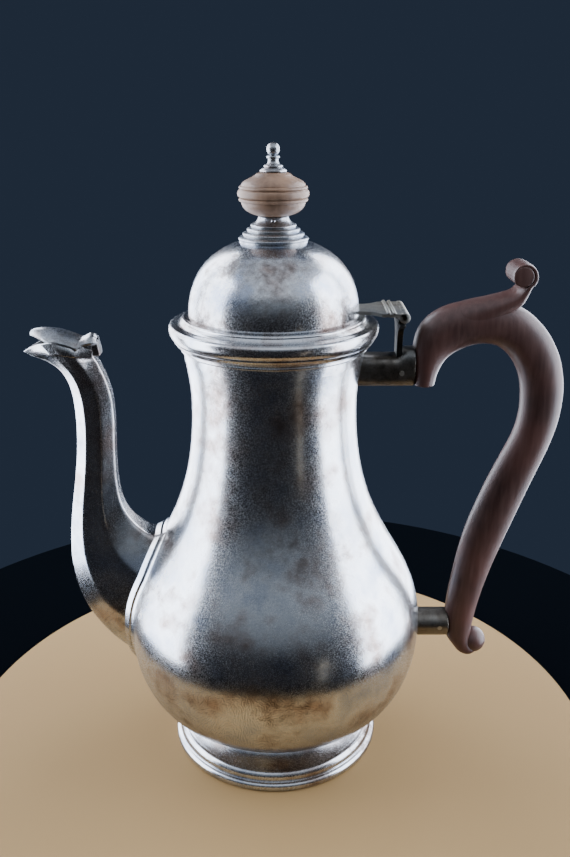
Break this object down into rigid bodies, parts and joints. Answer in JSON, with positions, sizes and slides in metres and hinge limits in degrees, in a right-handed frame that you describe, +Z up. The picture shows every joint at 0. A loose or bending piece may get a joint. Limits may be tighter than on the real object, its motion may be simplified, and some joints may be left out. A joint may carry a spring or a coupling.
{
  "type": "coffee pot",
  "caption": "Pear-shaped silver coffee pot with a hinged domed lid, a swan-neck spout with a hinged flap, and a carved wooden scroll handle.",
  "frame": {"origin": "centre of the foot's bottom face, on the pot's axis", "axes": "+Z up along the pot's axis, +X towards the handle, -X towards the spout"},
  "size_m": [0.1967, 0.1142, 0.2348],
  "materials": {
    "silver": "tarnished silver, soft polish",
    "dull_silver": "dark tarnished silver",
    "handle_wood": "old stained fruitwood, satin",
    "knob_wood": "turned wood, faded and dry"
  },
  "bodies": {
    "pot": {"body_shell": "silver", "rim_moulding": "silver", "foot_ring": "silver", "spout_tube": "silver", "spout_collar": "silver", "spout_head": "silver", "flap_lug": "dull_silver", "flap_hinge_pin": "dull_silver", "hinge_bracket": "dull_silver", "hinge_pin": "dull_silver", "upper_socket": "dull_silver", "lower_socket": "dull_silver", "handle": "handle_wood", "upper_handle_pin": "dull_silver", "lower_handle_pin": "dull_silver"},
    "lid": {"lid_dome": "silver", "lid_flange": "silver", "lid_bezel": "silver", "finial_collet": "silver", "finial_knob": "knob_wood", "finial_cap": "silver", "finial_nut": "dull_silver", "lid_strap": "dull_silver"},
    "spout_flap": {"spout_flap": "silver"}
  },
  "joints": [
    {"name": "lid_hinge", "type": "hinge", "parent": "pot", "child": "lid", "pos_m": [0.0456, 0, 0.1769], "axis": [0, 1, 0], "range_deg": [0, 95]},
    {"name": "flap_hinge", "type": "hinge", "parent": "pot", "child": "spout_flap", "pos_m": [-0.0646, 0, 0.1658], "axis": [0, 1, 0], "range_deg": [0, 75]}
  ]
}
